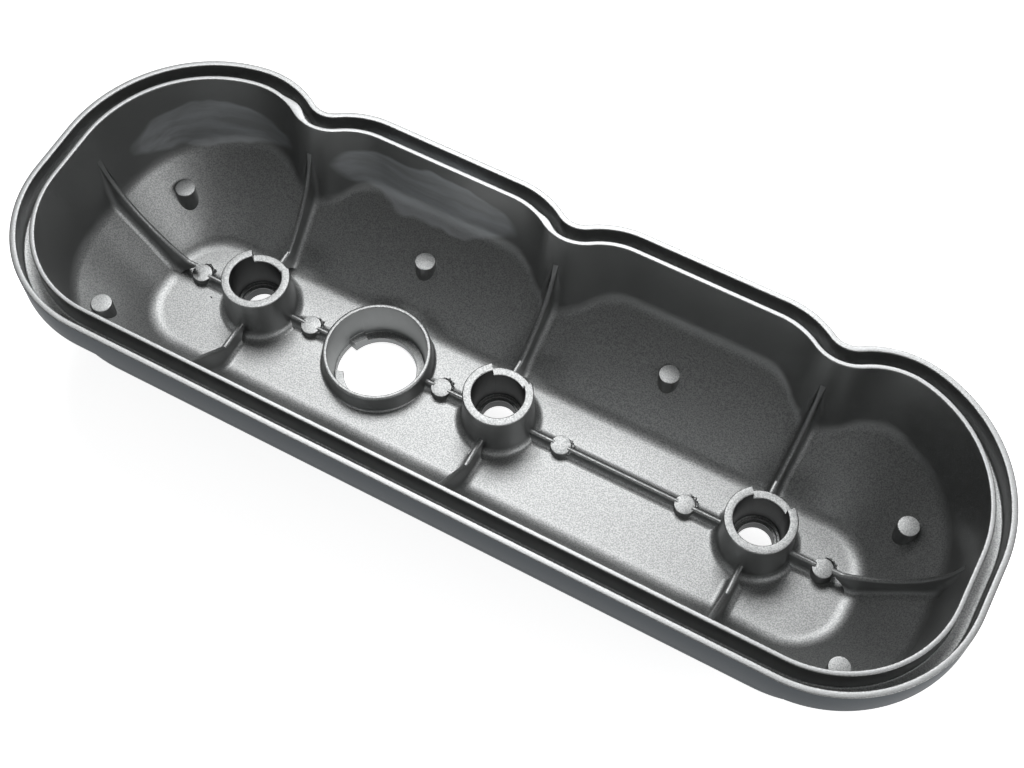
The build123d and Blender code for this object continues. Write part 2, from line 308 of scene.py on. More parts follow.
def bowl(rim, shell, boss, grow):
    """Rows of corners of the shell's section all round: wall top, crease, floor edge, floor box, middle line.

    The wall is ruled from the rim to the floor, the shoulder climbs from the flat floor at a constant slope,
    and the crease is found where the two meet, by halving.
    """
    floor = shell.crown + shell.wall - grow
    floor_grow = grow * np.tan(shell.shoulder / 2)
    top, out = outline(rim, boss, rim.near_side, rim.far_side, rim.half_length, rim.scallop_depth)
    foot, foot_out = outline(rim, boss, rim.near_side - shell.near_lean, rim.far_side - shell.side_lean,
                             rim.half_length - shell.end_lean, rim.scallop_depth + shell.scallop_lean)
    top = lifted(top + (grow - rim.inner_lip) * out, shell.height)
    foot = lifted(foot + (grow - rim.inner_lip) * foot_out, floor)
    low, high = np.zeros(len(top)), np.ones(len(top))
    for _ in range(40):
        try_at = (low + high) / 2
        point = top + try_at[:, None] * (foot - top)
        far, _ = plateau_distance(shell, point[:, 0] + 1j * point[:, 1], floor_grow)
        above = point[:, 2] > floor + np.tan(shell.shoulder) * far
        low, high = np.where(above, try_at, low), np.where(above, high, try_at)
    crease = top + low[:, None] * (foot - top)
    plan = crease[:, 0] + 1j * crease[:, 1]
    _, nearest = plateau_distance(shell, plan, floor_grow)
    away = (plan - nearest) / np.abs(plan - nearest)
    edge = lifted(nearest + away * (shell.floor_corner + floor_grow), floor)
    box = lifted(nearest, floor)
    middle = lifted(nearest.real + 1j * (shell.floor_far - shell.floor_near) / 2, floor)
    return top, crease, edge, box, middle


def inner_rows(rim, shell, boss):
    """Rows of the shell's inside, from the middle of the floor up to the inner lip."""
    top, crease, edge, box, middle = bowl(rim, shell, boss, 0.0)
    below_lip = top + (crease - top) * 0.02
    return np.concatenate([
        between(middle, box, 3), between(box, edge, 8)[:7],
        rounded(box, edge, crease, shell.floor_blend, 12),
        between(edge, crease, 12)[4:8],
        rounded(edge, crease, top, shell.wall_blend, 12),
        between(crease, below_lip, 12, False)[4:],
    ])


def turned(axis, radii, heights, count):
    """Grid of a turned shape: each profile point carried round the axis in equal steps."""
    angle = 2 * np.pi * np.arange(count) / count
    radii, heights = np.asarray(radii), np.asarray(heights)
    radii = np.broadcast_to(radii if radii.ndim == 2 else radii[:, None], (len(radii), count))
    x = axis.real + radii * np.cos(angle)
    y = axis.imag + radii * np.sin(angle)
    heights = np.broadcast_to(heights if heights.ndim == 2 else heights[:, None], radii.shape)
    return np.stack([x, y, heights], axis=-1)


def arc_profile(points, radii, count=6):
    """Section line, straight from point to point, with an arc of the given radius at each corner."""
    points = np.array([(x, 0.0, z) for x, z in points])
    rows = [points[:1]]
    for i, radius in enumerate(radii, start=1):
        if radius > 0:
            before, corner, after = points[None, i - 1], points[None, i], points[None, i + 1]
            rows.append(rounded(before, corner, after, radius, count)[:, 0])
        else:
            rows.append(points[i:i + 1])
    rows.append(points[-1:])
    line = np.concatenate(rows)
    return line[:, 0], line[:, 2]


# ---------------------------------------------------------------- meshes


def bolt_line():
    """Distance of the bolt line from the middle of the rim."""
    rim = bpy.context.scene.cover_rim
    return (rim.near_side - rim.far_side) / 2


def grid_faces(rows, columns):
    """Quads of a grid, with the last column joined to the first."""
    row = np.arange(rows - 1)[:, None]
    column = np.arange(columns)[None, :]
    after = (column + 1) % columns
    return np.stack([row * columns + column, row * columns + after, (row + 1) * columns + after,
                     (row + 1) * columns + column], axis=-1).reshape(-1, 4)


def add_surface(name, grid, materials, bands=None):
    """Piece made of a grid whose columns go all the way round, welded and facing outwards.

    Bands gives, for each row of the grid, the number of the material that its faces take.
    """
    rows, columns, _ = grid.shape
    points = grid.reshape(-1, 3) + (0, bolt_line(), 0)
    mesh = bpy.data.meshes.new(name)
    mesh.from_pydata(points.tolist(), [], grid_faces(rows, columns).tolist())
    for material in materials:
        mesh.materials.append(material)
    if bands is not None:
        numbers = np.repeat(bands, columns).astype(np.int32)
        mesh.polygons.foreach_set("material_index", numbers)
    shape = bmesh.new()
    shape.from_mesh(mesh)
    bmesh.ops.remove_doubles(shape, verts=shape.verts, dist=WELD)
    bmesh.ops.dissolve_degenerate(shape, edges=shape.edges, dist=WELD)
    bmesh.ops.recalc_face_normals(shape, faces=shape.faces)
    shape.to_mesh(mesh)
    shape.free()
    mesh.polygons.foreach_set("use_smooth", np.ones(len(mesh.polygons), dtype=bool))
    mesh.set_sharp_from_angle(angle=SHARP)
    piece = bpy.data.objects.new(name, mesh)
    bpy.context.scene.collection.objects.link(piece)
    return piece


def fit_to_casting(piece):
    """Makes a piece ride with the casting and stand for its node."""
    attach(piece, "root")
    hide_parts("valve_cover")


# ---------------------------------------------------------------- materials


def linear(code):
    """sRGB hex value as linear red, green, blue and alpha."""
    value = np.array([int(code[i:i + 2], 16) for i in (0, 2, 4)]) / 255
    value = np.where(value <= 0.04045, value / 12.92, ((value + 0.055) / 1.055) ** 2.4)
    return (*value.tolist(), 1.0)


def add_node(tree, kind, settings=None, **links):
    """Adds a node, sets its properties and unlinked inputs, and links the inputs given as sockets."""
    node = tree.nodes.new(kind)
    for key, value in (settings or {}).items():
        if hasattr(node, key):
            setattr(node, key, value)
        else:
            node.inputs[key].default_value = value
    for key, socket in links.items():
        tree.links.new(socket, node.inputs[int(key[1:]) if key[0] == "_" and key[1:].isdigit() else key])
    return node


def metal(name, skin, low, upright, rough, smooth, relief, painted_sheen=None):
    """Bare metal whose level faces are grainy and whose upright faces are smooth, as a die leaves them.

    Skin is the colour of level faces, low that in the hollows of their grain and upright that of the walls;
    where upright is darker than skin, the walls carry painted shade. Rough and smooth are the two
    roughnesses and relief is the grain's depth. The last colour, where given, is that of two places on the
    far wall painted lighter, as a painted highlight.
    """
    finish = bpy.context.scene.cover_finish
    material = bpy.data.materials.get(name)
    if material:
        return material
    material = bpy.data.materials.new(name)
    material.use_nodes = True
    tree = material.node_tree
    shader = tree.nodes["Principled BSDF"]
    shader.inputs["Metallic"].default_value = 1.0
    source = add_node(tree, "ShaderNodeTexCoord")
    place = source.outputs["Object"]
    facing = add_node(tree, "ShaderNodeSeparateXYZ", _0=source.outputs["Normal"])
    level = add_node(tree, "ShaderNodeMapRange", {"From Min": 0.2, "From Max": 0.6},
                     Value=facing.outputs["Z"])
    grain = add_node(tree, "ShaderNodeTexNoise", {"Scale": 1 / finish.grain, "Detail": 2.0, "Roughness": 0.6},
                     Vector=place)
    depth = add_node(tree, "ShaderNodeMapRange", {"From Min": 0.0, "From Max": 1.0, "To Min": 0.3},
                     Value=level.outputs["Result"])
    hollow = add_node(tree, "ShaderNodeMapRange", {"From Min": 0.38, "From Max": 0.62},
                      Value=grain.outputs["Fac"])
    hollow = add_node(tree, "ShaderNodeMath", {"operation": "MULTIPLY"}, _0=hollow.outputs["Result"],
                      _1=depth.outputs["Result"])
    colour = add_node(tree, "ShaderNodeMix", {"data_type": "RGBA"}, _0=hollow.outputs[0])
    colour.inputs[6].default_value, colour.inputs[7].default_value = linear(skin), linear(low)
    satin = add_node(tree, "ShaderNodeMapRange", {"To Min": smooth, "To Max": rough},
                     Value=level.outputs["Result"])
    bump = add_node(tree, "ShaderNodeBump", {"Strength": 0.5, "Distance": relief},
                    Height=grain.outputs["Fac"])
    # Upright faces take the upright colour, painted shade where it is darker than the level faces' colour
    walls = add_node(tree, "ShaderNodeMix", {"data_type": "RGBA"}, _0=level.outputs["Result"],
                     _7=colour.outputs[2])
    walls.inputs[6].default_value = linear(upright)
    final, roughness = walls.outputs[2], satin.outputs["Result"]
    if painted_sheen:
        # Two places on the far wall painted lighter, a painted highlight
        lit = painted_sheen_places(tree, place)
        colour = add_node(tree, "ShaderNodeMix", {"data_type": "RGBA"}, _0=lit, _6=final)
        colour.inputs[7].default_value = linear(painted_sheen)
        satin = add_node(tree, "ShaderNodeMix", {"data_type": "FLOAT"}, _0=lit, _2=roughness)
        satin.inputs[3].default_value = 0.5
        final, roughness = colour.outputs[2], satin.outputs[0]
    tree.links.new(final, shader.inputs["Base Color"])
    tree.links.new(roughness, shader.inputs["Roughness"])
    tree.links.new(bump.outputs["Normal"], shader.inputs["Normal"])
    return material


def painted_sheen_places(tree, place):
    """Mask of two long painted-highlight ovals on the far wall, with smeared edges and lengthwise streaks."""
    warp = add_node(tree, "ShaderNodeTexNoise", {"Scale": 1 / (24 * MM), "Detail": 2.0}, Vector=place)
    shift = add_node(tree, "ShaderNodeVectorMath", {"operation": "SUBTRACT"}, _0=warp.outputs["Color"])
    shift.inputs[1].default_value = (0.5, 0.5, 0.5)
    shift = add_node(tree, "ShaderNodeVectorMath", {"operation": "SCALE", "Scale": 12 * MM},
                     _0=shift.outputs["Vector"])
    moved = add_node(tree, "ShaderNodeVectorMath", {"operation": "ADD"}, _0=place, _1=shift.outputs["Vector"])
    masks = []
    for centre, size in (((-163, 41, 57), (36, 30, 14)), ((-68, 60, 59), (44, 20, 15.5))):
        away = add_node(tree, "ShaderNodeVectorMath", {"operation": "SUBTRACT"}, _0=moved.outputs["Vector"])
        away.inputs[1].default_value = [MM * c for c in centre]
        share = add_node(tree, "ShaderNodeVectorMath", {"operation": "DIVIDE"}, _0=away.outputs["Vector"])
        share.inputs[1].default_value = [MM * c for c in size]
        reach = add_node(tree, "ShaderNodeVectorMath", {"operation": "LENGTH"}, _0=share.outputs["Vector"])
        masks.append(add_node(tree, "ShaderNodeMapRange", {"From Min": 0.94, "From Max": 1.03, "To Min": 1.0,
                                                           "To Max": 0.0}, Value=reach.outputs["Value"]))
    either = add_node(tree, "ShaderNodeMath", {"operation": "MAXIMUM"}, _0=masks[0].outputs["Result"],
                      _1=masks[1].outputs["Result"])
    drawn_out = add_node(tree, "ShaderNodeMapping", {"Scale": (0.12, 0.3, 1.0)},
                         Vector=moved.outputs["Vector"])
    streaks = add_node(tree, "ShaderNodeTexNoise", {"Scale": 1 / (4 * MM), "Detail": 4.0},
                       Vector=drawn_out.outputs["Vector"])
    strength = add_node(tree, "ShaderNodeMapRange", {"From Min": 0.3, "From Max": 0.65, "To Min": 0.5},
                        Value=streaks.outputs["Fac"])
    mask = add_node(tree, "ShaderNodeMath", {"operation": "MULTIPLY"}, _0=either.outputs[0],
                    _1=strength.outputs["Result"])
    return mask.outputs[0]


def cast_aluminium():
    """Die-cast aluminium as it leaves the die: a satin grey skin, grainy where the die was blasted.

    The grain breaks up the highlights on the floor and the shoulders. The smoother walls are painted a
    darker grey as painted shade, and two places on the far wall are painted lighter as painted highlights.
    """
    finish = bpy.context.scene.cover_finish
    return metal("Die-cast aluminium", finish.metal, finish.shade, finish.wall, rough=0.46, smooth=0.4,
                 relief=0.14 * MM, painted_sheen=finish.painted_sheen)


def lip_highlight_aluminium():
    """Aluminium painted lighter on the lips' flat tops, a painted highlight, speckled by its grain."""
    finish = bpy.context.scene.cover_finish
    return metal("Machined aluminium", finish.lip_highlight, finish.metal, finish.metal, rough=0.48, smooth=0.48,
                 relief=0.1 * MM)


def shaded_bore_aluminium():
    """Die-cast aluminium painted dark for the towers' bores, as painted shade."""
    finish = bpy.context.scene.cover_finish
    return metal("Shaded bore aluminium", finish.bore, finish.bore, finish.bore, rough=0.5, smooth=0.5,
                 relief=0.08 * MM)


def shaded_filler_aluminium():
    """Die-cast aluminium painted darker in the filler's bore than at its rim, as painted shade."""
    finish = bpy.context.scene.cover_finish
    return metal("Shaded filler aluminium", finish.shade, finish.shade, finish.shade, rough=0.5, smooth=0.5,
                 relief=0.08 * MM)


def shaded_outside_aluminium():
    """Die-cast aluminium left to tarnish, which makes the outside duller and bluer than the inside."""
    # Duller aluminium painted darker and bluer for the outside as painted shade, level faces lighter.
    finish = bpy.context.scene.cover_finish
    return metal("Shaded outside aluminium", finish.skin_painted_lit, finish.skin, finish.skin, rough=0.55, smooth=0.55,
                 relief=0.08 * MM)


# ---------------------------------------------------------------- operators


class OBJECT_OT_cover_shell(Operator):
    """Adds the shell: floor, shoulder, walls, grooved rim, flange and the outside, as one surface.

    The near and the far half of the floor meet along its middle line, and so do those of the crown. Their
    points don't match there, so that seam touches without being welded.
    """

    bl_idname = "object.cover_shell"
    bl_label = "Add Shell"

    def execute(self, context):
        rim, shell, boss, *_ = settings()
        inside = inner_rows(rim, shell, boss)
        plan, out = outline(rim, boss, rim.near_side, rim.far_side, rim.half_length, rim.scallop_depth)
        high, low = shell.height, shell.height - rim.groove_depth

        def station(offset, height):
            return lifted(plan + offset * out, height)

        # The inner lip widens into a lens on the left flank of the first two scallops
        bulge = np.zeros(len(plan))
        for start, end, wide in ((-138.5, -119.5, 2.1), (-14.5, -1.5, 1.1)):
            share = ((plan.real / MM - start) / (end - start)).clip(0, 1)
            bulge += np.where(plan.imag > 0, wide * MM * np.sin(np.pi * share) ** 2, 0.0)

        lip, groove = rim.inner_lip, rim.groove_width
        flange = groove + rim.outer_lip
        under = high - rim.flange_depth
        wall_top, crease, edge, box, middle = bowl(rim, shell, boss, shell.wall)
        share = rim.flange_depth / (high - crease[:, 2])
        wall_at_flange = wall_top + share[:, None] * (crease - wall_top)
        corners = [
            (inside[-1], station(-lip, high), station(bulge, high), rim.lip_round),
            (station(-lip, high), station(bulge, high), station(bulge, low), rim.lip_round),
            (station(bulge, high), station(bulge, low), station(groove, low), 0.8 * MM),
            (station(bulge, low), station(groove, low), station(groove, high), 0.8 * MM),
            (station(groove, low), station(groove, high), station(flange, high), rim.lip_round),
            (station(groove, high), station(flange, high), station(flange, under), rim.lip_round),
            (station(flange, high), station(flange, under), wall_at_flange, 0.8 * MM),
        ]
        per_corner = 4
        rows = [inside]
        rows += [rounded(*corner, per_corner) for corner in corners]
        # The root under the flange is rounded as far as the flange's overhang leaves room for
        rows.append(rounded(station(flange, under), wall_at_flange, crease, rim.flange_root, 8))
        rows.append(between(wall_at_flange, crease, 8)[3:5])
        rows.append(rounded(wall_at_flange, crease, edge, shell.wall_blend + shell.wall, 12))
        rows.append(between(crease, edge, 8)[4:5])
        rows.append(rounded(crease, edge, box, shell.floor_blend + shell.wall, 12))
        rows.append(between(edge, box, 4)[2:])
        rows.append(between(box, middle, 3, False))
        grid = np.concatenate(rows)
        # The lips' flat tops follow the first and the fifth corner, and the outside starts half-way round
        # the sixth
        # The lips' tops get a lighter colour, painted highlight, and the outside a darker one, painted shade
        cast, lip_highlight, shaded_outside = range(3)
        row = np.arange(len(grid) - 1)
        flat = np.isin(row, len(inside) + per_corner * np.array([1, 5]) - 1)
        outside = row >= len(inside) + 5.5 * per_corner
        bands = np.where(outside, shaded_outside, np.where(flat, lip_highlight, cast))
        piece = add_surface("casting_shell", grid,
                            [cast_aluminium(), lip_highlight_aluminium(), shaded_outside_aluminium()], bands=bands)
        # Holes for the towers' bores and the filler neck
        above = shell.crown + 2 * shell.wall
        bolt_cut = boss.tower_radius - CUT_INSIDE_TOWER
        for name, x, radius in [("bolt_left", -boss.pitch, bolt_cut), ("bolt_middle", 0.0, bolt_cut),
                                ("bolt_right", boss.pitch, bolt_cut),
                                ("filler", boss.filler_x, boss.collar_radius - CUT_INSIDE_COLLAR)]:
            cutter = add_surface("cutter_" + name, turned(complex(x, 0), [0, radius, radius, 0],
                                                          [0.0, 0.0, above, above], 96), [cast_aluminium()])
            cut = piece.modifiers.new(name, "BOOLEAN")
            cut.operation, cut.solver, cut.object = "DIFFERENCE", "EXACT", cutter
        depsgraph = context.evaluated_depsgraph_get()
        finished = bpy.data.meshes.new_from_object(piece.evaluated_get(depsgraph))
        piece.modifiers.clear()
        piece.data = finished
        for cutter in [o for o in bpy.data.objects if o.name.startswith("cutter_")]:
            bpy.data.objects.remove(cutter, do_unlink=True)
        if not finished.polygons:
            raise RuntimeError("Cutting the holes left nothing of the shell")
        finished.set_sharp_from_angle(angle=SHARP)
        fit_to_casting(piece)
        return {"FINISHED"}


class OBJECT_OT_cover_towers(Operator):
    """Adds the three bolt towers, each a turned surface with a stepped bore and a notch in its far side."""

    bl_idname = "object.cover_towers"
    bl_label = "Add Bolt Towers"

    def execute(self, context):
        _, shell, boss, *_ = settings()
        floor = shell.crown + shell.wall
        top = floor + boss.tower_height
        bore_floor, seat = floor + 3.1 * MM, floor + 2.1 * MM
        side = boss.tower_radius + boss.tower_height * np.tan(np.radians(2))
        cut = boss.tower_radius - CUT_INSIDE_TOWER
        radii, heights = arc_profile(
            [(cut, shell.crown), (cut, floor - SINK), (side + boss.root, floor - SINK),
             (side + boss.root, floor - 0.02 * MM), (side, floor), (boss.tower_radius, top),
             (boss.bore_radius, top), (boss.bore_floor, bore_floor), (boss.seat_radius, bore_floor),
             (boss.seat_radius, seat),
             (boss.hole_radius, seat), (boss.hole_radius, shell.crown + 0.8 * MM),
             (boss.hole_radius + 0.8 * MM, shell.crown), (cut, shell.crown)],
            [0, 0, 0, boss.root, 0.5 * MM, 0.5 * MM, 1.0 * MM, 0.3 * MM, 0.3 * MM, 0.4 * MM, 0, 0], 7)
        count = 240
        angle = 2 * np.pi * np.arange(count) / count
        notched = (angle >= boss.notch_from) & (angle <= boss.notch_to)
        rim_rows = heights > top - 0.6 * MM
        grid_heights = heights[:, None] - boss.notch_depth * (rim_rows[:, None] & notched[None, :])
        wall = (heights < top - 0.3 * MM) & (heights > bore_floor + 0.6 * MM)
        hole = (heights < seat - 0.3 * MM) & (radii < boss.hole_radius + 0.01 * MM)
        # Rows inside the bore and the bolt hole take the dark material, painted shade
        in_bore = ((radii < boss.bore_radius + 0.01 * MM) & (wall | hole))[:-1]
        for name, x in [("left", -boss.pitch), ("middle", 0.0), ("right", boss.pitch)]:
            piece = add_surface("tower_" + name, turned(complex(x, 0), radii, grid_heights, count),
                                [cast_aluminium(), shaded_bore_aluminium()], bands=in_bore.astype(int))
            fit_to_casting(piece)
        return {"FINISHED"}


class OBJECT_OT_cover_filler(Operator):
    """Adds the oil filler neck: collar, bore, ledge with its notch and stop, and the neck outside."""

    bl_idname = "object.cover_filler"
    bl_label = "Add Filler Neck"

    def execute(self, context):
        _, shell, boss, *_ = settings()
        floor = shell.crown + shell.wall
        top = floor + boss.collar_height
        side = boss.collar_radius + boss.collar_height * np.tan(np.radians(6))
        cut = boss.collar_radius - CUT_INSIDE_COLLAR
        neck_top = boss.neck_radius + shell.crown * np.tan(np.radians(4))
        radii, heights = arc_profile(
            [(cut, floor - SINK), (side + 2 * MM, floor - SINK), (side + 2 * MM, floor - 0.02 * MM),
             (side, floor), (boss.collar_radius, top), (boss.collar_bore, top),
             (boss.ledge_bore, boss.ledge_thickness), (boss.ledge_opening, boss.ledge_thickness),
             (boss.ledge_opening, 0.0), (boss.neck_radius, 0.0), (neck_top, shell.crown),
             (neck_top, shell.crown + 0.5 * MM), (cut, shell.crown + 0.5 * MM), (cut, floor - SINK)],
            [0, 0, 3 * MM, 1.4 * MM, 0.4 * MM, 0.4 * MM, 0.3 * MM, 0.3 * MM, 0.5 * MM, 0, 0, 0], 6)
        count = 360
        angle = np.degrees(2 * np.pi * np.arange(count) / count)
        grid_radii = np.broadcast_to(radii[:, None], (len(radii), count)).copy()
        grid_heights = np.broadcast_to(heights[:, None], (len(radii), count)).copy()
        notch = (angle >= 162) & (angle <= 208)
        stop = (angle >= 140) & (angle <= 162)
        stop_height = 2.2 * MM
        opening = (radii < boss.notch_radius) & (heights < boss.ledge_thickness + 0.1 * MM)
        grid_radii = np.where(opening[:, None] & notch[None, :], boss.notch_radius, grid_radii)
        ledge = (np.abs(heights - boss.ledge_thickness) < 0.8 * MM) & (radii < boss.ledge_bore + 0.2 * MM)
        grid_heights = np.where(ledge[:, None] & stop[None, :], grid_heights + stop_height, grid_heights)
        # Rows inside the filler's bore and the ledge's opening take the darker material, painted shade
        in_bore = (radii < boss.collar_bore + 0.01 * MM) & (heights < top - 0.3 * MM)
        in_bore &= (heights > boss.ledge_thickness + 0.3 * MM) | (radii < boss.ledge_opening + 0.01 * MM)
        neck = turned(complex(boss.filler_x, 0), grid_radii, grid_heights, count)
        piece = add_surface("filler_neck", neck, [cast_aluminium(), shaded_filler_aluminium()],
                            bands=in_bore[:-1].astype(int))
        fit_to_casting(piece)
        return {"FINISHED"}


def rib_surface(foot, ridge, across, width, root):
    """Grid of a rib that stands on a curve: rows along it, columns over its section.

    Each row joins a point of the foot curve to one of the ridge curve. The section leaves the surface on a
    concave arc, goes up the drafted side and over a rounded ridge, and comes down the same way. Where the
    rib is lower than the arc, the arc shrinks with it.
    """
    up = ridge - foot
    tall = np.linalg.norm(up, axis=-1, keepdims=True)
    up = up / np.maximum(tall, 1e-9)
    half = width / 2
    flare = np.minimum(root, 0.8 * tall)
    crest = np.minimum(half, 0.5 * tall)
    bend = np.linspace(0, np.pi / 2, 7)
    draft = 0.035 * tall
    side = [(-(half + draft + flare * (1 - np.sin(a))), flare * (1 - np.cos(a))) for a in bend]
    side += [(-(half - crest * (1 - np.cos(a))), tall - crest * (1 - np.sin(a))) for a in bend]
    side = [(-(half + draft + flare), -0.4 * MM)] + side
    columns = side + [(-x, z) for x, z in reversed(side)]
    return np.stack([foot + across * x + up * z for x, z in columns], axis=1)


class OBJECT_OT_cover_ribs(Operator):
    """Adds the spine and the ribs that climb from it to the walls."""

    bl_idname = "object.cover_ribs"
    bl_label = "Add Ribs"

    def execute(self, context):
        rim, shell, boss, ribs, _ = settings()
        inside = inner_rows(rim, shell, boss)
        floor = shell.crown + shell.wall
        middle_line = (shell.floor_far - shell.floor_near) / 2

        def section(coordinate, place, keep):
            """Where the inside crosses an upright plane: one point for each row of the shell's grid."""
            line = []
            for row in inside:
                chosen = row[keep(row)]
                order = np.argsort(chosen[:, coordinate])
                chosen = chosen[order]
                line.append([np.interp(place, chosen[:, coordinate], chosen[:, k]) for k in range(3)])
            line = np.array(line)
            line[:, coordinate] = place
            return line

        def climbing(name, line, along, start, low, middle, high, across, flip, drift):
            """Rib that runs level from start to low, then up the circle through three points of its plane."""
            (x1, y1), (x2, y2), (x3, y3) = low, middle, high
            a = np.array([[2 * (x2 - x1), 2 * (y2 - y1)], [2 * (x3 - x1), 2 * (y3 - y1)]])
            b = np.array([x2**2 + y2**2 - x1**2 - y1**2, x3**2 + y3**2 - x1**2 - y1**2])
            centre = np.linalg.solve(a, b)
            radius = np.hypot(x1 - centre[0], y1 - centre[1])
            turn = np.linspace(np.arctan2(y1 - centre[1], x1 - centre[0]),
                               np.arctan2(y3 - centre[1], x3 - centre[0]), 60)
            arc = centre + radius * np.stack([np.cos(turn), np.sin(turn)], axis=-1)
            level = np.stack([np.linspace(start, x1, 8), np.full(8, y1)], axis=-1)
            ridge = np.concatenate([level[:-1], arc]) * MM
            piece = rib_from(line, along, ridge, across, flip, drift, x1 * MM)
            fit_to_casting(add_surface(name, piece, [cast_aluminium()]))

        def rib_from(line, along, ridge, across, flip, drift=(0.0, 0.0), low_end=0.0):
            """Matches a ridge to the foot line by the height above the floor and the distance out."""
            reach = np.abs(line[:, along])
            rise = line[:, 2] - floor
            path = np.concatenate([[0], np.cumsum(np.hypot(np.diff(reach), np.diff(rise)))])
            target = ridge[:, 0] + ridge[:, 1]
            travelled = np.interp(target, reach + rise, path)
            foot = np.stack([np.interp(travelled, path, line[:, k]) for k in range(3)], axis=-1)
            crest = foot.copy()
            crest[:, along] = flip * ridge[:, 0]
            crest[:, 2] = floor + ridge[:, 1]
            proud = crest[:, 2] - foot[:, 2] > 0.05 * MM
            aside = np.interp(ridge[:, 0], [low_end, ridge[-1, 0]], drift)[:, None] * across
            foot, crest = foot + aside, crest + aside
            return closed_rib(foot[proud], crest[proud], across)

        def closed_rib(foot, crest, across):
            """Rib with both ends drawn together under the surface that it stands on."""
            grid = rib_surface(foot, crest, across, ribs.width, ribs.root)
            sunk = np.broadcast_to([[0, 0, 0.5 * MM]], (grid.shape[1], 3))
            return np.concatenate([[foot[0] - sunk], grid, [foot[-1] - sunk]])

        sideways, lengthways = np.array([1.0, 0, 0]), np.array([0, 1.0, 0])
        # Heights are above the floor and distances from the bolt line or the middle bolt, in mm
        for name, x, skew in [("left", -boss.pitch, 0.0), ("middle", 0.0, ribs.skew),
                              ("right", boss.pitch, ribs.skew)]:
            drift = (-skew, 0.0)
            far = section(0, x, lambda row: row[:, 1] > middle_line - 1e-9)
            climbing("rib_far_" + name, far, 1, 13, (24, 11), (38.7, 26.3), (51.8, 55.8), sideways, 1,
                     drift)
            near = section(0, x, lambda row: row[:, 1] < middle_line + 1e-9)
            knee = np.array([(13, 8), (29, 8), (55, 34), (64, 62)])
            step = np.concatenate([np.linspace(0, 1, 10), np.linspace(1, 2, 24)[1:],
                                   np.linspace(2, 3, 16)[1:]])
            ridge = np.stack([np.interp(step, range(4), knee[:, k]) for k in (0, 1)], axis=-1) * MM
            piece = rib_from(near, 1, ridge, sideways, -1)
            fit_to_casting(add_surface("rib_near_" + name, piece, [cast_aluminium()]))
        for name, side in [("left", -1), ("right", 1)]:
            end = section(1, 0.0, lambda row: side * row[:, 0] > shell.floor_end - shell.floor_corner - 1e-6)
            climbing("rib_end_" + name, end, 0, 153, (157.3, 8.6), (182.2, 26.4), (197.0, 54), lengthways,
                     side, (0.0, ribs.end_drift))
        # Spine along the bolt line, from boss to boss and from pad to pad
        stops = [(-148.2, -133), (-107, -97.4), (-91, -83), (-37, -31.4), (-25, -13), (13, 26.8),
                 (33.2, 84.8), (91.2, 107), (133, 146.5)]
        for number, (start, end) in enumerate(stops, start=1):
            x = np.linspace(start, end, 24) * MM
            foot = np.stack([x, 0 * x, 0 * x + floor], axis=-1)
            crest = foot + (0, 0, ribs.right_height if x[0] > boss.pitch else ribs.spine_height)
            fit_to_casting(add_surface("spine_%02d" % number, closed_rib(foot, crest, lengthways),
                                       [cast_aluminium()]))
        return {"FINISHED"}


def flash(centre, radius, base, arc, tall, seed):
    """Grid of the ragged fin that the gap round an ejector pin leaves beside its pad.

    Rows run along the arc. The fin's height and width are a mean with two sine waves of unlike pitch, and
    both fade to nothing at the arc's ends. The columns go up the fin's inside, over its edge and down its
    outside.
    """
    step = np.linspace(0, 1, 40)
    angle = arc[0] + step * (arc[1] - arc[0])
    fade = np.sqrt(np.sin(np.pi * step))
    rough = 1 + 0.35 * np.sin(23 * step + seed) + 0.3 * np.sin(41 * step + 2.3 * seed)
    high = tall * fade * rough
    wide = (0.25 + 0.9 * fade * np.roll(rough, 7)) * MM
    out = np.exp(1j * angle)
    inner = radius + 0.15 * MM
    columns = [(inner, 0 * high), (inner + 0.05 * wide, 0.8 * high), (inner + 0.25 * wide, high),
               (inner + 0.6 * wide, 0.8 * high), (inner + 0.9 * wide, 0.25 * high), (inner + wide, 0 * high)]
    top = [lifted(centre + r * out, base + 0.9 * MM + h) for r, h in columns]
    bottom = [lifted(centre + r * out, base + 0 * high) for r in (inner + wide, inner)]
    grid = np.stack(top + bottom, axis=1)
    ends = [np.broadcast_to(grid[k].mean(axis=0), grid[0].shape)[None] for k in (0, -1)]
    return np.concatenate([ends[0], grid, ends[1]])


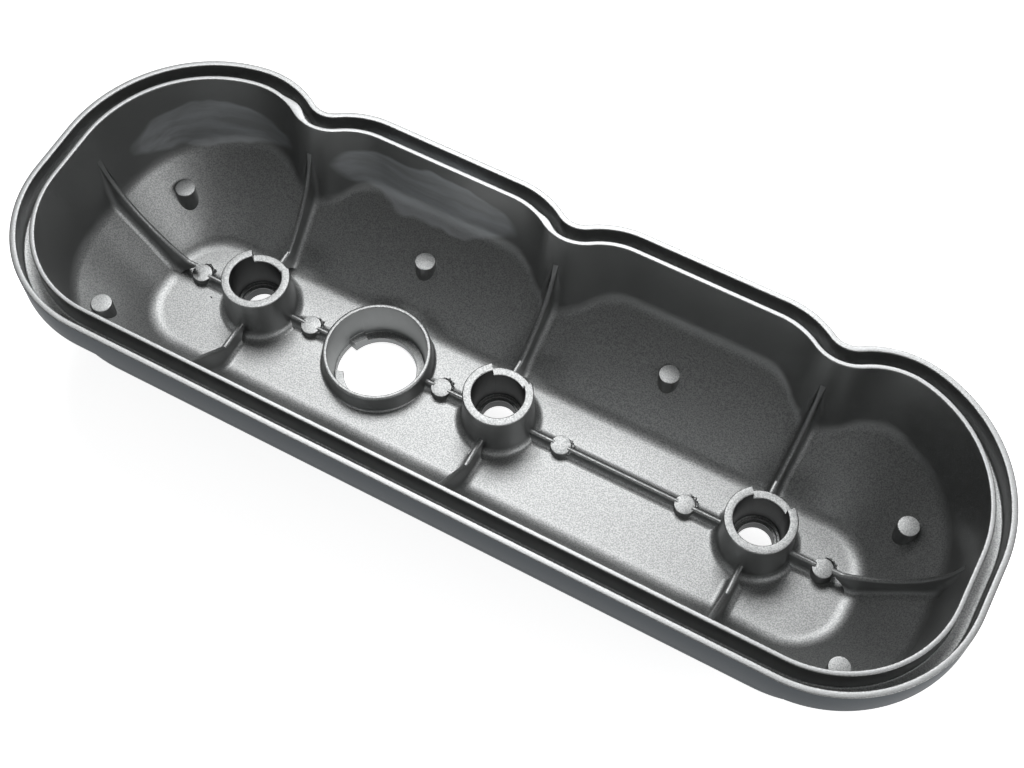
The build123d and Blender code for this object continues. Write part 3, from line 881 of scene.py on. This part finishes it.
class OBJECT_OT_cover_pads(Operator):
    """Adds the round ejector pads on the spine and on the shoulder."""

    bl_idname = "object.cover_pads"
    bl_label = "Add Ejector Pads"

    def execute(self, context):
        _, shell, boss, *_ = settings()
        floor = shell.crown + shell.wall
        # Each pad has a place, a height above the floor, the height of its foot and the foot's slope. The
        # feet of the shoulder's pads lie in the middle of its wall and climb outwards as that does
        level, climb = (0.0, 0.0), 0.965
        spine = [(x, 0.0, boss.spine_pad, floor / MM, level) for x in (-151.4, -94.2, -28.2, 30.0, 88.0)]
        spine.append((149.7, 0.0, boss.right_pad, floor / MM, level))
        field = [(x, y, boss.field_pad, foot, (climb * np.cos(heading), climb * np.sin(heading)))
                 for x, y, foot, heading in
                 ((-173, 25, 25.4, 2.484), (-59, 42, 27.1, np.pi / 2), (59, 42, 27.1, np.pi / 2),
                  (173, 25, 25.4, 0.658), (-171.6, -42, 29.0, -2.333), (171.6, -42, 29.0, -0.808))]
        for number, (x, y, height, foot, slope) in enumerate(spine + field, start=1):
            radius = boss.pad_radius
            top = floor + height
            radii, heights = arc_profile([(0, top), (radius, top), (radius + 0.1 * MM, floor), (0, floor)],
                                         [0.35 * MM, 0], 5)
            pad = turned(complex(x * MM, y * MM), radii, heights, 64)
            low = heights < floor + 0.01 * MM
            pad[low, :, 2] = foot * MM + (pad[low, :, :2] - (x * MM, y * MM)) @ slope
            fit_to_casting(add_surface("pad_%02d" % number, pad, [cast_aluminium()]))
        for number, (x, start, stop, tall) in enumerate(
                ((-151.4, -20, 115, 1.3), (-94.2, -35, 80, 1.0), (-28.2, 20, 110, 0.8), (30.0, -30, 60, 0.5),
                 (88.0, 10, 100, 0.5), (149.7, -15, 100, 1.3)), start=1):
            base = boss.right_pad if x > 120 else boss.spine_pad
            fin = flash(complex(x * MM, 0), boss.pad_radius, floor + base - 1.6 * MM,
                        np.radians([start, stop]), tall * MM, number)
            fit_to_casting(add_surface("flash_%02d" % number, fin, [cast_aluminium()]))
        return {"FINISHED"}


class OBJECT_OT_cover_stage(Operator):
    """Adds the pale floor, the lamps and the camera."""

    bl_idname = "object.cover_stage"
    bl_label = "Add Stage"

    def execute(self, context):
        finish = context.scene.cover_finish
        scene = context.scene
        mesh = bpy.data.meshes.new("studio_floor")
        reach = 6.0
        corners = [(-reach, -reach, 0), (reach, -reach, 0), (reach, reach, 0), (-reach, reach, 0)]
        mesh.from_pydata(corners, [], [(0, 1, 2, 3)])
        floor = bpy.data.objects.new("studio_floor", mesh)
        scene.collection.objects.link(floor)
        paper = bpy.data.materials.new("White paper")
        paper.use_nodes = True
        tree = paper.node_tree
        tree.nodes.clear()
        colour = (*finish.backdrop, 1.0)
        ray = add_node(tree, "ShaderNodeLightPath")
        seen = add_node(tree, "ShaderNodeMath", {"operation": "MAXIMUM"}, _0=ray.outputs["Is Camera Ray"],
                        _1=ray.outputs["Is Glossy Ray"])
        seen = add_node(tree, "ShaderNodeMath", {"operation": "MAXIMUM"}, _0=seen.outputs[0],
                        _1=ray.outputs["Is Transmission Ray"])
        matt = add_node(tree, "ShaderNodeBsdfDiffuse", {"Color": (0.8, 0.8, 0.8, 1.0)})
        glow = add_node(tree, "ShaderNodeEmission", {"Color": colour, "Strength": 0.85})
        both = add_node(tree, "ShaderNodeAddShader", _0=matt.outputs[0], _1=glow.outputs[0])
        mix = add_node(tree, "ShaderNodeMixShader", _0=seen.outputs[0], _1=matt.outputs[0],
                       _2=both.outputs[0])
        out = add_node(tree, "ShaderNodeOutputMaterial")
        tree.links.new(mix.outputs[0], out.inputs["Surface"])
        mesh.materials.append(paper)

        world = bpy.data.worlds.new("Studio")
        scene.world = world
        world.use_nodes = True
        back = world.node_tree.nodes["Background"]
        back.inputs["Color"].default_value = (1, 1, 1, 1)
        back.inputs["Strength"].default_value = 0.1

        centre = (0, 0, 0.03)

        def lamp(name, place, size, power):
            """Rectangular lamp aimed at the middle of the cover."""
            data = bpy.data.lights.new(name, "AREA")
            data.shape, data.size, data.size_y, data.energy = "RECTANGLE", size[0], size[1], power
            light = bpy.data.objects.new(name, data)
            scene.collection.objects.link(light)
            light.location = place
            light.rotation_euler = (Vector(centre) - Vector(place)).to_track_quat("-Z", "Y").to_euler()

        lamp("overhead", (-0.32, 0.57, 1.23), (0.7, 0.55), 10)
        lamp("side", (1.05, -0.26, 0.88), (1.1, 0.5), 5)
        lamp("far", (0.1, 1.3, 0.9), (0.9, 0.4), 7)

        camera_data = bpy.data.cameras.new("camera")
        camera = bpy.data.objects.new("camera", camera_data)
        scene.collection.objects.link(camera)
        turn, down, roll = np.radians([29.35, 61.7, 1.05])
        right = np.array([np.cos(turn), np.sin(turn), 0])
        ahead = np.array([-np.sin(turn) * np.cos(down), np.cos(turn) * np.cos(down), -np.sin(down)])
        below = np.cross(ahead, right)
        image_x = np.cos(roll) * right + np.sin(roll) * below
        image_y = -np.sin(roll) * right + np.cos(roll) * below
        matrix = Matrix(np.stack([image_x, -image_y, -ahead], axis=1).tolist()).to_4x4()
        matrix.translation = (0.159371, bolt_line() - 0.27556, 0.647636)
        camera.matrix_world = matrix
        # The focal length and the optical centre are in pixels of a picture 1024 wide and 768 high
        wide, high, focal, centre_x, centre_y = 1024, 768, 1653.7, 506.83, 369.91
        camera_data.sensor_width = 36.0
        camera_data.lens = focal / wide * camera_data.sensor_width
        camera_data.shift_x = (wide / 2 - centre_x) / wide
        camera_data.shift_y = (centre_y - high / 2) / wide
        camera_data.clip_start = 0.01
        scene.camera = camera
        scene.view_settings.view_transform = "Standard"
        return {"FINISHED"}


OPERATORS = (OBJECT_OT_cover_shell, OBJECT_OT_cover_towers, OBJECT_OT_cover_filler, OBJECT_OT_cover_ribs,
             OBJECT_OT_cover_pads, OBJECT_OT_cover_stage)


class VIEW3D_PT_valve_cover(Panel):
    """Lists the cover's pieces and its settings."""

    bl_label = "Valve Cover"
    bl_space_type = "VIEW_3D"
    bl_region_type = "UI"
    bl_category = "Valve Cover"

    def draw(self, context):
        for operator in OPERATORS:
            self.layout.operator(operator.bl_idname)
        for group in settings():
            box = self.layout.box()
            for name in group.bl_rna.properties.keys():
                if name not in ("rna_type", "name"):
                    box.prop(group, name)


GROUPS = {"cover_rim": CoverRim, "cover_shell": CoverShell, "cover_bosses": CoverBosses,
          "cover_ribs": CoverRibs, "cover_finish": CoverFinish}


def register():
    for kind in (*GROUPS.values(), *OPERATORS, VIEW3D_PT_valve_cover):
        bpy.utils.register_class(kind)
    for name, kind in GROUPS.items():
        setattr(bpy.types.Scene, name, PointerProperty(type=kind))


def unregister():
    for name in GROUPS:
        delattr(bpy.types.Scene, name)
    for kind in reversed((*GROUPS.values(), *OPERATORS, VIEW3D_PT_valve_cover)):
        bpy.utils.unregister_class(kind)


def main():
    register()
    bpy.ops.object.cover_stage()
    bpy.ops.object.cover_shell()
    bpy.ops.object.cover_towers()
    bpy.ops.object.cover_filler()
    bpy.ops.object.cover_ribs()
    bpy.ops.object.cover_pads()


if __name__ == "__main__":
    main()
